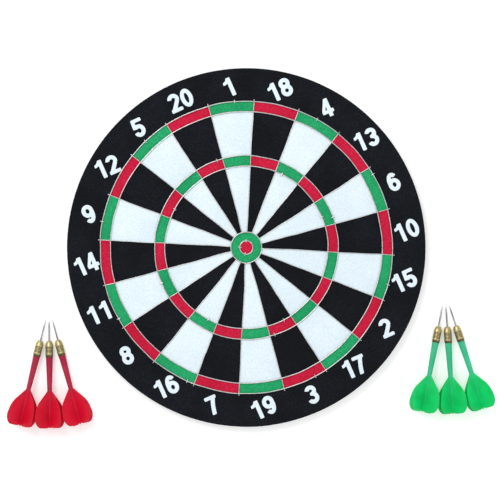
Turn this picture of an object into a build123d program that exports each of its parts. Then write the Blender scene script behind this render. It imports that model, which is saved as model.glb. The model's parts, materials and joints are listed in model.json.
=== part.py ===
from build123d import *
from math import atan, cos, degrees, radians, sin, tan
import os

# A flocked paper dartboard lying on its back, with six steel-tip darts laid out beside it.
# The origin is the centre of the back face. +Z points out of the playing face, and +Y points
# from the bull towards the 20. Lengths are in millimetres and angles in degrees.

# ------------------------------------------------------------------ board body
board_diameter = 430.0
board_thickness = 15.0
rim_band_thickness = 0.6
rim_band_setback = 0.3
back_sheet_thickness = 0.5
flock_thickness = 0.8

# ------------------------------------------------------------------ scoring field
sector_count = 20
inner_bull_radius = 7.9
outer_bull_radius = 18.5
triple_outer_radius = 110.0
double_outer_radius = 175.0
score_ring_width = 12.5

# ------------------------------------------------------------------ numbers, clockwise from the top
clock_numbers = [20, 1, 18, 4, 13, 6, 10, 15, 2, 17, 3, 19, 7, 16, 8, 11, 14, 9, 12, 5]
number_inward_shift = 2.0
digit_height = 22.6
digit_width = 14.3
digit_gap = 1.4
digit_stroke = 4.8
digit_bar_stroke = 4.2
digit_thin_stroke = 3.6

# ------------------------------------------------------------------ wires and staples
ring_wire_diameter = 1.2
radial_wire_diameter = 1.0
radial_wire_overhang = 3.0
weld_depth = 0.2
staple_wire_diameter = 0.9
staple_crown = 4.2
staple_leg = 9.0
double_staple_bearings = [19.5, 53.0, 84.0, 129.0, 176.0, 228.0, 265.0, 304.0, 340.5]
triple_outer_staple_bearings = [5.5, 95.0, 186.0, 271.0]
triple_inner_staple_bearings = [50.0, 92.0, 177.0, 232.0, 322.0]
bull_staple_bearings = [25.0, 220.0, 299.0]

# ------------------------------------------------------------------ hanging ring on the back
hanger_rim_margin = 14.5
hanger_wire_diameter = 2.0
hanger_ring_width = 24.0
hanger_ring_length = 26.0
hanger_bar_bend = 3.0
hanger_loop_bend = 11.5
hanger_pin_clearance = 0.08
hanger_pocket_clearance = 1.5
hanger_back_clearance = 0.2
strap_width = 10.0
strap_length = 22.0
strap_thickness = 0.8
nail_spacing = 14.0
nail_shank_diameter = 1.6
nail_head_diameter = 4.0
nail_head_thickness = 0.9
nail_length = 8.0
nail_hole_clearance = 0.1

# ------------------------------------------------------------------ darts
needle_diameter = 2.0
needle_length = 26.0
needle_point_length = 9.0
needle_tip_diameter = 0.3
needle_seat_depth = 9.0
barrel_diameter = 9.6
barrel_length = 19.8
barrel_nose_diameter = 6.0
barrel_nose_length = 6.5
barrel_rear_reduction = 0.9
barrel_rear_taper = 4.0
barrel_groove_depth = 0.35
barrel_groove_width = 0.7
barrel_groove_pitch = 1.6
barrel_groove_count = 5
stem_front_reduction = 0.2
stem_rear_diameter = 5.8
stem_length = 38.5
spigot_diameter = 4.0
spigot_length = 6.0
flight_length = 46.0
flight_core_tail_diameter = 2.4
vane_count = 4
vane_thickness = 0.9
vane_root_overlap = 2.0
vane_shoulder = 20.0
vane_shoulder_radius = 19.6
vane_shoulder_bend = 22.0
vane_widest = 37.0
vane_corner_radius = 22.8
vane_corner_bend = 12.0
vane_tail_radius = 17.0
vane_tail_bend = 7.0
vane_notch_depth = 3.0
vane_notch_radius = 4.5
vane_notch_bend = 4.0
vane_touch_lead = 4.5

# ------------------------------------------------------------------ where the darts lie
# Each fan gives the bearing of its middle tip, that tip's gap from the rim, and the heading from
# tip to tail.
fan_angle = 14.5
fan_flight_clearance = 1.1
fan_barrel_clearance = 1.0
floor_clearance = 0.05
dart_fans = [
    ("red_dart", 273.95, 38.9, -112.4),
    ("green_dart", 130.25, 36.0, -111.3),
]
fan_places = [("left", -1), ("middle", 0), ("right", 1)]

# ------------------------------------------------------------------ sizes worked out from these
board_radius = board_diameter / 2
face_radius = board_radius - rim_band_thickness
flock_bottom = board_thickness - flock_thickness
core_height = flock_bottom - back_sheet_thickness
sector_angle = 360 / sector_count
triple_inner_radius = triple_outer_radius - score_ring_width
double_inner_radius = double_outer_radius - score_ring_width
number_circle_radius = (double_outer_radius + board_radius) / 2 - number_inward_shift
digit_pitch = digit_width + digit_gap
radial_wire_height = board_thickness + radial_wire_diameter / 2
ring_wire_height = board_thickness + radial_wire_diameter + ring_wire_diameter / 2 - weld_depth
bull_wire_height = board_thickness + ring_wire_diameter / 2

hanger_bore_radius = hanger_wire_diameter / 2 + hanger_pin_clearance
hanger_axis_height = hanger_back_clearance + strap_thickness + hanger_bore_radius
pocket_depth = hanger_axis_height + hanger_bore_radius
pocket_width = hanger_ring_width + hanger_wire_diameter + 2 * hanger_pocket_clearance
pocket_length = 2 * (hanger_ring_length + hanger_wire_diameter / 2 + hanger_pocket_clearance)
hanger_radius = board_radius - hanger_rim_margin - pocket_length / 2

barrel_start = needle_length
barrel_end = barrel_start + barrel_length
barrel_touch = barrel_start + barrel_nose_length
barrel_taper_start = barrel_end - barrel_rear_taper
barrel_rear_diameter = barrel_diameter - barrel_rear_reduction
groove_run = (barrel_groove_count - 1) * barrel_groove_pitch
first_groove = (barrel_touch + barrel_taper_start - groove_run) / 2
stem_front_diameter = barrel_rear_diameter - stem_front_reduction
flight_start = barrel_end + stem_length
dart_length = flight_start + flight_length

os.makedirs("parts", exist_ok=True)


def save(builder, name):
    builder.part.label = name
    export_step(builder.part, f"parts/{name}.step")


# ================================================================== board body

def bearing_point(radius, bearing):
    return (radius * sin(radians(bearing)), radius * cos(radians(bearing)))


hanger_plane = Plane((0, hanger_radius, 0))

with BuildPart() as paper_core:
    with BuildSketch(Plane.XY.offset(back_sheet_thickness)):
        Circle(face_radius)
    extrude(amount=core_height)
    with BuildSketch(hanger_plane):
        Rectangle(pocket_width, pocket_length)
    extrude(amount=pocket_depth, mode=Mode.SUBTRACT)
save(paper_core, "paper_core")

with BuildPart() as back_sheet:
    with BuildSketch():
        Circle(face_radius)
    extrude(amount=back_sheet_thickness)
    with BuildSketch(hanger_plane):
        Rectangle(pocket_width, pocket_length)
    extrude(amount=back_sheet_thickness, mode=Mode.SUBTRACT)
save(back_sheet, "back_sheet")

with BuildPart() as rim_band:
    with BuildSketch(Plane.XY.offset(rim_band_setback)):
        Circle(board_radius)
        Circle(face_radius, mode=Mode.SUBTRACT)
    extrude(amount=board_thickness - 2 * rim_band_setback)
save(rim_band, "rim_band")


# ================================================================== numerals

glyph_x = (digit_width - digit_stroke) / 2
glyph_y = (digit_height - digit_stroke) / 2
glyph_top = digit_height / 2
bar_y = glyph_top - digit_bar_stroke / 2
bowl_reach = glyph_y * 0.6


def straight(width, start, end):
    with BuildLine() as pen:
        Line(start, end)
    trace(pen.line, line_width=width)


def bow(width, start, middle, end):
    with BuildLine() as pen:
        ThreePointArc(start, middle, end)
    trace(pen.line, line_width=width)


def bowl(centre_y, reach_x, reach_y, start_angle, arc_size):
    with BuildLine() as pen:
        EllipticalCenterArc((0, centre_y), reach_x, reach_y, start_angle, arc_size=arc_size)
    trace(pen.line, line_width=digit_stroke)


def oval(centre_y, reach_x, reach_y, side, mode):
    with Locations((0, centre_y)):
        Ellipse(reach_x + side * digit_stroke / 2, reach_y + side * digit_stroke / 2, mode=mode)


def draw_zero():
    oval(0, glyph_x, glyph_y, 1, Mode.ADD)
    oval(0, glyph_x, glyph_y, -1, Mode.SUBTRACT)


def draw_one():
    stem_x = glyph_x * 0.45
    flag_start = (stem_x * 0.72, glyph_top)
    flag_middle = (-glyph_x * 0.3, glyph_y * 0.75)
    flag_end = (-digit_width * 0.38, glyph_y * 0.64)
    straight(digit_stroke, (stem_x, -glyph_top), (stem_x, glyph_top))
    bow(digit_thin_stroke, flag_start, flag_middle, flag_end)


def draw_two():
    reach_y = glyph_y * 0.52
    turn_angle = -28
    bowl(glyph_y - reach_y, glyph_x, reach_y, turn_angle, 200)
    turn = (glyph_x * cos(radians(turn_angle)), glyph_y - reach_y + reach_y * sin(radians(turn_angle)))
    bow(digit_stroke, turn, (0.2, -glyph_y * 0.38), (-glyph_x - 0.4, -glyph_top + 1))
    straight(digit_bar_stroke, (-digit_width / 2, -bar_y), (digit_width / 2, -bar_y))


def draw_three():
    upper = glyph_y * 0.46
    lower = glyph_y - upper
    bowl(glyph_y - upper, glyph_x - 0.3, upper, -90, 255)
    bowl(-glyph_y + lower, glyph_x, lower, -165, 255)
    straight(digit_thin_stroke, (-1.9, glyph_y - 2 * upper), (0, glyph_y - 2 * upper))


def draw_four():
    stem_x = glyph_x * 0.42
    foot_y = -glyph_top * 0.42
    straight(digit_stroke, (stem_x, -glyph_top), (stem_x, glyph_top))
    straight(digit_bar_stroke, (-digit_width / 2, foot_y), (digit_width / 2, foot_y))
    straight(digit_thin_stroke, (stem_x - 0.2, glyph_top - 0.6), (-glyph_x - 1.4, foot_y - 0.2))


def draw_five():
    straight(digit_bar_stroke, (-glyph_x + 0.2, bar_y), (digit_width / 2 - 0.6, bar_y))
    straight(digit_bar_stroke, (-glyph_x + 0.9, glyph_top), (-glyph_x + 0.1, -0.9))
    bowl(-glyph_y + bowl_reach, glyph_x, bowl_reach, -165, 305)


def draw_six():
    oval(-glyph_y + bowl_reach, glyph_x, bowl_reach, 1, Mode.ADD)
    bowl(0, glyph_x, glyph_y, 43, 170)
    oval(-glyph_y + bowl_reach, glyph_x, bowl_reach, -1, Mode.SUBTRACT)


def draw_seven():
    straight(digit_bar_stroke, (-digit_width / 2, bar_y), (digit_width / 2, bar_y))
    bow(digit_stroke, (glyph_x, glyph_top), (0.3, 0.4), (-glyph_x + 2.4, -glyph_top - 0.4))


def draw_eight():
    upper = glyph_y * 0.46
    lower = glyph_y - upper
    for side, mode in ((1, Mode.ADD), (-1, Mode.SUBTRACT)):
        oval(glyph_y - upper, glyph_x - 0.4, upper, side, mode)
        oval(-glyph_y + lower, glyph_x, lower, side, mode)


digit_drawings = {
    "0": draw_zero, "1": draw_one, "2": draw_two, "3": draw_three, "4": draw_four,
    "5": draw_five, "6": draw_six, "7": draw_seven, "8": draw_eight, "9": draw_six,
}


def digit_sketch(digit):
    """One bold numeral centred on the origin, clipped to its own box; a nine is a six turned over."""
    with BuildSketch() as glyph:
        digit_drawings[digit]()
        Rectangle(digit_width, digit_height, mode=Mode.INTERSECT)
    return glyph.sketch.rotate(Axis.Z, 180 if digit == "9" else 0)


glyphs = {digit: digit_sketch(digit) for digit in digit_drawings}


def add_numbers(mode):
    """All the numbers, upright, on their circle."""
    for place, number in enumerate(clock_numbers):
        centre_x, centre_y = bearing_point(number_circle_radius, place * sector_angle)
        text = str(number)
        for index, digit in enumerate(text):
            across = (index - (len(text) - 1) / 2) * digit_pitch
            with Locations((centre_x + across, centre_y)):
                add(glyphs[digit], mode=mode)


with BuildPart() as numbers:
    with BuildSketch(Plane.XY.offset(flock_bottom)):
        add_numbers(Mode.ADD)
    extrude(amount=flock_thickness)
save(numbers, "numbers")


# ================================================================== flocked face

def ring_sketch(inner_radius, outer_radius):
    Circle(outer_radius)
    if inner_radius:
        Circle(inner_radius, mode=Mode.SUBTRACT)


def cut_sectors(first_bearing):
    """Takes every second sector out of the rings drawn so far."""
    reach = board_radius
    half_width = reach * tan(radians(sector_angle / 2))
    with PolarLocations(0, sector_count // 2, start_angle=90 - first_bearing):
        Polygon((0, 0), (reach, half_width), (reach, -half_width), align=None, mode=Mode.SUBTRACT)


def flock_fields(rings, other_sectors):
    """Flock of one colour: rings, or only every second sector of them."""
    with BuildPart() as fields:
        for inner_radius, outer_radius in rings:
            with BuildSketch(Plane.XY.offset(flock_bottom)):
                ring_sketch(inner_radius, outer_radius)
                if other_sectors is not None:
                    cut_sectors(other_sectors)
            extrude(amount=flock_thickness)
    return fields


single_rings = [(outer_bull_radius, triple_inner_radius), (triple_outer_radius, double_inner_radius)]
score_rings = [(triple_inner_radius, triple_outer_radius), (double_inner_radius, double_outer_radius)]

save(flock_fields(single_rings, sector_angle), "black_fields")
save(flock_fields(single_rings, 0), "white_fields")
save(flock_fields(score_rings, sector_angle), "red_fields")
save(flock_fields(score_rings, 0), "green_fields")
save(flock_fields([(inner_bull_radius, outer_bull_radius)], None), "outer_bull_field")
save(flock_fields([(0, inner_bull_radius)], None), "inner_bull_field")

with BuildPart() as number_ring:
    with BuildSketch(Plane.XY.offset(flock_bottom)):
        ring_sketch(double_outer_radius, face_radius)
        add_numbers(Mode.SUBTRACT)
    extrude(amount=flock_thickness)
save(number_ring, "number_ring")


# ================================================================== wires

def ring_wire(radius, height):
    with BuildPart() as wire:
        with BuildSketch(Plane.XZ):
            with Locations((radius, height)):
                Circle(ring_wire_diameter / 2)
        revolve(axis=Axis.Z)
    return wire


for wire_name, wire_radius in [
    ("double_outer_wire", double_outer_radius),
    ("double_inner_wire", double_inner_radius),
    ("triple_outer_wire", triple_outer_radius),
    ("triple_inner_wire", triple_inner_radius),
    ("outer_bull_wire", outer_bull_radius),
]:
    save(ring_wire(wire_radius, ring_wire_height), wire_name)
save(ring_wire(inner_bull_radius, bull_wire_height), "inner_bull_wire")

with BuildPart(Plane.XY.offset(radial_wire_height)) as radial_wires:
    radial_length = double_outer_radius + radial_wire_overhang - outer_bull_radius
    with PolarLocations(outer_bull_radius, sector_count, start_angle=sector_angle / 2):
        Cylinder(
            radial_wire_diameter / 2,
            radial_length,
            rotation=(0, 90, 0),
            align=(Align.CENTER, Align.CENTER, Align.MIN),
        )
save(radial_wires, "radial_wires")


def staple(radius, bearing, wire_top):
    """A bent wire bridge across a ring wire, its two legs driven into the core."""
    across_x, across_y = bearing_point(1, bearing)
    foot = (radius * across_x, radius * across_y, wire_top + staple_wire_diameter / 2 - staple_leg)
    plane = Plane(foot, x_dir=(across_x, across_y, 0), z_dir=(across_y, -across_x, 0))
    half_crown = staple_crown / 2
    with BuildSketch(plane) as bridge:
        with BuildLine() as bend:
            FilletPolyline(
                (-half_crown, 0),
                (-half_crown, staple_leg),
                (half_crown, staple_leg),
                (half_crown, 0),
                radius=staple_wire_diameter,
            )
        trace(bend.line, line_width=staple_wire_diameter)
    extrude(bridge.sketch, amount=staple_wire_diameter / 2, both=True)


ring_wire_top = ring_wire_height + ring_wire_diameter / 2
bull_wire_top = bull_wire_height + ring_wire_diameter / 2
with BuildPart() as staples:
    for staple_radius, staple_bearings, top in [
        (double_outer_radius, double_staple_bearings, ring_wire_top),
        (triple_outer_radius, triple_outer_staple_bearings, ring_wire_top),
        (triple_inner_radius, triple_inner_staple_bearings, ring_wire_top),
        (inner_bull_radius, bull_staple_bearings, bull_wire_top),
    ]:
        for staple_bearing in staple_bearings:
            staple(staple_radius, staple_bearing, top)
save(staples, "staples")


# ================================================================== hanging ring on the back

hanger_side = Plane(
    (strap_width / 2, hanger_radius, hanger_axis_height), x_dir=(0, 1, 0), z_dir=(1, 0, 0)
)

nail_places = [(0, hanger_radius - nail_spacing / 2), (0, hanger_radius + nail_spacing / 2)]

with BuildPart() as hanger_strap:
    with BuildSketch(hanger_side):
        Circle(hanger_bore_radius + strap_thickness)
        with Locations((0, hanger_bore_radius)):
            Rectangle(strap_length, strap_thickness, align=(Align.CENTER, Align.MAX))
            Rectangle(strap_length, strap_length, align=(Align.CENTER, Align.MIN), mode=Mode.SUBTRACT)
        Circle(hanger_bore_radius, mode=Mode.SUBTRACT)
        Rectangle(
            2 * hanger_bore_radius, hanger_bore_radius,
            align=(Align.CENTER, Align.MIN), mode=Mode.SUBTRACT,
        )
    extrude(amount=-strap_width)
    with BuildSketch(Plane.XY):
        with Locations(*nail_places):
            Circle(nail_shank_diameter / 2 + nail_hole_clearance)
    extrude(amount=pocket_depth, mode=Mode.SUBTRACT)
save(hanger_strap, "hanger_strap")

with BuildPart() as hanger_nails:
    with BuildSketch(Plane.XY.offset(pocket_depth - strap_thickness - nail_head_thickness)):
        with Locations(*nail_places):
            Circle(nail_head_diameter / 2)
    extrude(amount=nail_head_thickness)
    with BuildSketch(Plane.XY.offset(pocket_depth - strap_thickness)):
        with Locations(*nail_places):
            Circle(nail_shank_diameter / 2)
    extrude(amount=nail_length)
save(hanger_nails, "hanger_nails")

with BuildPart() as hanger_ring:
    with BuildLine(Plane((0, hanger_radius, hanger_axis_height))) as loop:
        half_loop = hanger_ring_width / 2
        FilletPolyline(
            (half_loop, 0),
            (half_loop, -hanger_ring_length),
            (-half_loop, -hanger_ring_length),
            (-half_loop, 0),
            radius=[hanger_bar_bend, hanger_loop_bend, hanger_loop_bend, hanger_bar_bend],
            close=True,
        )
    loop_wire = loop.wires()[0]
    with BuildSketch(Plane(loop_wire ^ 0)):
        Circle(hanger_wire_diameter / 2)
    sweep(path=loop_wire)
save(hanger_ring, "hanger_ring")


# ================================================================== darts

with BuildSketch() as vane_outline:
    with BuildLine():
        FilletPolyline(
            (-vane_root_overlap, 0),
            (vane_shoulder, vane_shoulder_radius),
            (vane_widest, vane_corner_radius),
            (flight_length, vane_tail_radius),
            (flight_length, vane_notch_radius),
            (flight_length - vane_notch_depth, 0),
            radius=[vane_shoulder_bend, vane_corner_bend, vane_tail_bend, vane_notch_bend],
        )
        Line((flight_length - vane_notch_depth, 0), (-vane_root_overlap, 0))
    make_face()

vane_reach = vane_outline.sketch.bounding_box().max.Y
vane_roll = 180 / vane_count
vane_drop = vane_reach * sin(radians(vane_roll)) + vane_thickness / 2 * cos(radians(vane_roll))
vane_touch = flight_start + vane_widest - vane_touch_lead
dart_tilt = degrees(atan((vane_drop - barrel_diameter / 2) / (vane_touch - barrel_touch)))
dart_tip_height = (
    barrel_diameter / 2 / cos(radians(dart_tilt))
    - barrel_touch * sin(radians(dart_tilt))
    + floor_clearance
)
fan_spread = 2 * sin(radians(fan_angle / 2))
fan_tip_spacing = max(
    2 * vane_drop + fan_flight_clearance - vane_touch * fan_spread,
    barrel_diameter + fan_barrel_clearance - barrel_start * fan_spread,
)


def dart_plane(tip_x, tip_y, heading):
    """Origin at the needle's tip, local X along the dart towards its tail, local Z level."""
    level = cos(radians(dart_tilt))
    along = (level * cos(radians(heading)), level * sin(radians(heading)), sin(radians(dart_tilt)))
    sideways = (-sin(radians(heading)), cos(radians(heading)), 0)
    return Plane((tip_x, tip_y, dart_tip_height), x_dir=along, z_dir=sideways)


def turning_axis(plane):
    return Axis(plane.origin, plane.x_dir)


def make_needle(plane):
    radius = needle_diameter / 2
    needle_end = needle_length + needle_seat_depth
    with BuildPart() as needle:
        with BuildSketch(plane):
            Polygon(
                (0, 0),
                (0, needle_tip_diameter / 2),
                (needle_point_length, radius),
                (needle_end, radius),
                (needle_end, 0),
                align=None,
            )
        revolve(axis=turning_axis(plane))
    return needle


def make_barrel(plane):
    radius = barrel_diameter / 2
    nose_radius = barrel_nose_diameter / 2
    with BuildPart() as barrel:
        with BuildSketch(plane):
            with BuildLine():
                Line((barrel_start, 0), (barrel_start, nose_radius))
                ThreePointArc(
                    (barrel_start, nose_radius),
                    (barrel_start + barrel_nose_length * 0.4, nose_radius + (radius - nose_radius) * 0.62),
                    (barrel_touch, radius),
                )
                Polyline(
                    (barrel_touch, radius),
                    (barrel_taper_start, radius),
                    (barrel_end, barrel_rear_diameter / 2),
                    (barrel_end, 0),
                    (barrel_start, 0),
                )
            make_face()
        revolve(axis=turning_axis(plane))
        with BuildSketch(plane):
            for groove in range(barrel_groove_count):
                with Locations((first_groove + groove * barrel_groove_pitch, radius)):
                    Rectangle(barrel_groove_width, 2 * barrel_groove_depth)
            with Locations((barrel_start + needle_seat_depth / 2, needle_diameter / 4)):
                Rectangle(needle_seat_depth, needle_diameter / 2)
            with Locations((barrel_end - spigot_length / 2, spigot_diameter / 4)):
                Rectangle(spigot_length, spigot_diameter / 2)
        revolve(axis=turning_axis(plane), mode=Mode.SUBTRACT)
    return barrel


def make_flight(plane):
    with BuildPart() as flight:
        with BuildSketch(plane):
            Polygon(
                (barrel_end - spigot_length, 0),
                (barrel_end - spigot_length, spigot_diameter / 2),
                (barrel_end, spigot_diameter / 2),
                (barrel_end, stem_front_diameter / 2),
                (flight_start, stem_rear_diameter / 2),
                (dart_length, flight_core_tail_diameter / 2),
                (dart_length, 0),
                align=None,
            )
        revolve(axis=turning_axis(plane))
        for vane in range(vane_count):
            roll = vane_roll + vane * 360 / vane_count
            root = plane.origin + plane.x_dir * flight_start
            facing = plane.z_dir.rotate(Axis((0, 0, 0), plane.x_dir), roll)
            with BuildSketch(Plane(root, x_dir=plane.x_dir, z_dir=facing)):
                add(vane_outline.sketch)
            extrude(amount=vane_thickness / 2, both=True)
    return flight


for dart_set, tip_bearing, rim_gap, middle_heading in dart_fans:
    middle_x, middle_y = bearing_point(board_radius + rim_gap, tip_bearing)
    for place_name, place in fan_places:
        dart_name = f"{dart_set}_{place_name}"
        dart_heading = middle_heading + place * fan_angle
        tip_x = middle_x - place * fan_tip_spacing * sin(radians(middle_heading))
        tip_y = middle_y + place * fan_tip_spacing * cos(radians(middle_heading))
        dart_line = dart_plane(tip_x, tip_y, dart_heading)
        save(make_needle(dart_line), f"{dart_name}_needle")
        save(make_barrel(dart_line), f"{dart_name}_barrel")
        save(make_flight(dart_line), f"{dart_name}_flight")
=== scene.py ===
# %% [markdown]
# # A flocked dartboard with a wire spider, and its six darts
# The board is a disc of coiled paper tape with a soft flocked face. A cage of bright wire divides the
# face into its scoring fields, and six cheap, cheerful darts lie beside it in two fans.
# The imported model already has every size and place, so it is loaded first and used as the frame that
# each piece below is built around.

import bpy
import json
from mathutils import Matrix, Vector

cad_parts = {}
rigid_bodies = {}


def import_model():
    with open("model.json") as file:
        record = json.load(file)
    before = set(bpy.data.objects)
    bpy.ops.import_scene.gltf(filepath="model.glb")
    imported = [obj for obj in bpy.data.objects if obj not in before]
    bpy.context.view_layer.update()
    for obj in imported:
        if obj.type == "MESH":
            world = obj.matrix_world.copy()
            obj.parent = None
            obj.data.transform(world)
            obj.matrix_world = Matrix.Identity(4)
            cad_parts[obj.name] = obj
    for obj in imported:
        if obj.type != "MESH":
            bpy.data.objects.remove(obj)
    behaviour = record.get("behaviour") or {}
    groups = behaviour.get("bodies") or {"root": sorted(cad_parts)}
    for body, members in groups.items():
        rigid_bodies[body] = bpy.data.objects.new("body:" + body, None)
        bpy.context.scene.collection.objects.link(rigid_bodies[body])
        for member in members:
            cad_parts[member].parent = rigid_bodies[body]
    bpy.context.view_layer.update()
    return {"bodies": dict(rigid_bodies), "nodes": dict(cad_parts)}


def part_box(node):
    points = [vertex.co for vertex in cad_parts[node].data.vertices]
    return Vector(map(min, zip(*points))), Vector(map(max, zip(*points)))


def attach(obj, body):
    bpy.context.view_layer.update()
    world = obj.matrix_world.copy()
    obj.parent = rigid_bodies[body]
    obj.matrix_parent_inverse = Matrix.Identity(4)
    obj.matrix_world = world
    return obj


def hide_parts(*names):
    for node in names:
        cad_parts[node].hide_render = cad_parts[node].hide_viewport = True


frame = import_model()

# %% Tools and the unit
import json
from math import atan2, cos, pi, radians, sin, tan
from random import Random

import bmesh
import bpy
from mathutils import Matrix, Vector

mm = 0.001
print("lengths below are written as a number times mm, because the scene is in metres")

# %% [markdown]
# ## Hands
# Working by hand means: put everything down, pick one piece up, enter edit mode, choose some faces or
# edges by their place, and use an operator on them. These helpers are those hand movements. An operator
# acts on everything that is selected, so nothing may stay selected by accident.

# %% Picking pieces up and putting them down
def put_down_all():
    bpy.ops.object.select_all(action="DESELECT")


def hold(piece):
    put_down_all()
    piece.select_set(True)
    bpy.context.view_layer.objects.active = piece
    return piece


def new_piece(name):
    """The primitive that was just added, renamed and held."""
    piece = bpy.context.object
    piece.name = name
    piece.data.name = name
    return hold(piece)


def settle(piece):
    """Writes the piece's place into its mesh, so that its object sits at the origin."""
    hold(piece)
    bpy.ops.object.transform_apply(location=True, rotation=True, scale=True)
    return piece


def apply_modifiers(piece):
    hold(piece)
    for modifier in list(piece.modifiers):
        bpy.ops.object.modifier_apply(modifier=modifier.name)
    return piece


def copy_piece(piece, name):
    """A copy with its own mesh."""
    twin = piece.copy()
    twin.data = piece.data.copy()
    twin.name = name
    twin.data.name = name
    bpy.context.scene.collection.objects.link(twin)
    return twin


def join_pieces(name, pieces):
    hold(pieces[0])
    for piece in pieces[1:]:
        piece.select_set(True)
    bpy.ops.object.join()
    return new_piece(name)


put_down_all()
print("selected pieces:", len(bpy.context.selected_objects))

# %% Choosing parts of a mesh in edit mode
SELECT_MODES = {"verts": "VERT", "edges": "EDGE", "faces": "FACE"}


def choose(piece, kind, wanted):
    """Selects the verts, edges or faces for which wanted(element) is true, and counts them."""
    bpy.ops.mesh.select_mode(type=SELECT_MODES[kind])
    bpy.ops.mesh.select_all(action="DESELECT")
    cage = bmesh.from_edit_mesh(piece.data)
    chosen = [element for element in getattr(cage, kind) if wanted(element)]
    for element in chosen:
        element.select_set(True)
    cage.select_flush_mode()
    bmesh.update_edit_mesh(piece.data)
    return len(chosen)


def edit(piece):
    hold(piece)
    bpy.ops.object.mode_set(mode="EDIT")


def leave_edit():
    bpy.ops.object.mode_set(mode="OBJECT")


MERGE_DISTANCE = 0.002 * mm


def close_seams(piece):
    """Merges doubled vertices and turns every face outwards."""
    edit(piece)
    bpy.ops.mesh.select_all(action="SELECT")
    bpy.ops.mesh.remove_doubles(threshold=MERGE_DISTANCE)
    bpy.ops.mesh.normals_make_consistent(inside=False)
    leave_edit()
    return piece


def smooth_round(piece, sharp_angle=40):
    hold(piece)
    bpy.ops.object.shade_smooth_by_angle(angle=radians(sharp_angle))
    return piece


print("hand helpers are ready")

# %% [markdown]
# ## Drawing a line and turning it on a lathe
# Needles, barrels and stems are turned or moulded round. Half of their outline is drawn by extruding one
# vertex from point to point, and the spin operator turns it about the X axis. A stack of cylinders could
# give the same sizes, but not the rounded shoulders and grooves in one closed skin.

# %% Line and lathe
def draw_line(name, points):
    put_down_all()
    bpy.ops.mesh.primitive_plane_add(size=mm)
    piece = new_piece(name)
    edit(piece)
    bpy.ops.mesh.select_mode(type="VERT")
    bpy.ops.mesh.select_all(action="SELECT")
    bpy.ops.mesh.merge(type="CENTER")
    bpy.ops.transform.translate(value=points[0])
    for start, end in zip(points, points[1:]):
        step = tuple(e - s for s, e in zip(start, end))
        bpy.ops.mesh.extrude_vertices_move(TRANSFORM_OT_translate={"value": step})
    leave_edit()
    return piece


def turn_on_lathe(piece, steps):
    edit(piece)
    bpy.ops.mesh.select_all(action="SELECT")
    bpy.ops.mesh.spin(steps=steps, angle=2 * pi, center=(0, 0, 0), axis=(1, 0, 0))
    leave_edit()
    return close_seams(piece)


def turned(name, profile, steps):
    """A closed round piece along X from its (x, radius) outline."""
    return turn_on_lathe(draw_line(name, [(x, radius, 0) for x, radius in profile]), steps)


print("lathe is ready")

# %% [markdown]
# ## The camera
# The view is straight down on the face, with the board turned about a fifteenth of a turn on the
# table. A long lens keeps the circle a circle right to its edge.

# %% Camera
board_low, board_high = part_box("rim_band")
face_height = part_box("number_ring")[1].z
view_centre = Vector((2.8 * mm, -4.6 * mm, face_height))
view_width = 599 * mm
board_turn = radians(-24.05)
lens, sensor = 100, 36

camera_data = bpy.data.cameras.new("view_camera")
camera_data.lens = lens
camera_data.sensor_width = sensor
camera = bpy.data.objects.new("view_camera", camera_data)
camera.location = view_centre + Vector((0, 0, view_width * lens / sensor))
camera.rotation_euler = (0, 0, board_turn)
bpy.context.scene.collection.objects.link(camera)
bpy.context.scene.camera = camera
print("camera height in metres:", round(camera.location.z, 3))

# %% [markdown]
# ## Light and floor
# A product lies on a pale table in a bright white room. The room's light comes from the world. One
# large soft lamp up and to the left of the view gives the wires and the flock their direction, and a
# weaker one across from it keeps the shadows thin. The floor lies a hair below the pieces.

# %% World, lamps and floor
room_brightness = 0.78
key_power, fill_power = 14, 5
floor_radius, floor_drop = 14, 0.15 * mm

scene = bpy.context.scene
scene.view_settings.view_transform = "Standard"
world = bpy.data.worlds.new("white_room")
scene.world = world
world.use_nodes = True
world.node_tree.nodes["Background"].inputs["Color"].default_value = (1.0, 1.0, 1.0, 1)
world.node_tree.nodes["Background"].inputs["Strength"].default_value = room_brightness

view_up = Vector((-sin(board_turn), cos(board_turn), 0))
view_right = Vector((cos(board_turn), sin(board_turn), 0))


def soft_lamp(name, direction, distance, size, power):
    lamp_data = bpy.data.lights.new(name, "AREA")
    lamp_data.shape = "DISK"
    lamp_data.size = size
    lamp_data.energy = power
    lamp = bpy.data.objects.new(name, lamp_data)
    lamp.location = direction.normalized() * distance
    lamp.rotation_euler = (-direction).to_track_quat("-Z", "Y").to_euler()
    bpy.context.scene.collection.objects.link(lamp)


soft_lamp("key_lamp", Vector((0, 0, 1.6)) + view_up * 0.9 - view_right * 0.7, 1.9, 0.9, key_power)
soft_lamp("fill_lamp", Vector((0, 0, 1.2)) - view_up * 0.8 + view_right * 1.0, 2.2, 1.4, fill_power)

put_down_all()
bpy.ops.mesh.primitive_circle_add(
    vertices=96, radius=floor_radius, fill_type="NGON", location=(0, 0, -floor_drop)
)
floor = settle(new_piece("pale_floor"))
print("lamps and floor are in place")

# %% [markdown]
# ## Materials: a few shared brush strokes
# Every finish below reads the Object coordinates, so its grain has a real size in metres and stays on
# the piece when it moves. `grain` is noise of a given size, `tone` turns a value into a range of
# colours, and `relief` lets the same grain catch the light as small bumps.

# %% Brush strokes for materials
def start_finish(name):
    finish = bpy.data.materials.new(name)
    finish.use_nodes = True
    return finish


def shader_of(finish):
    return finish.node_tree.nodes["Principled BSDF"]


def set_constants(finish, **values):
    """Numbers and colours that are the same all over, set on the shader's own sockets."""
    for name, value in values.items():
        shader_of(finish).inputs[name.replace("_", " ")].default_value = value


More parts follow.
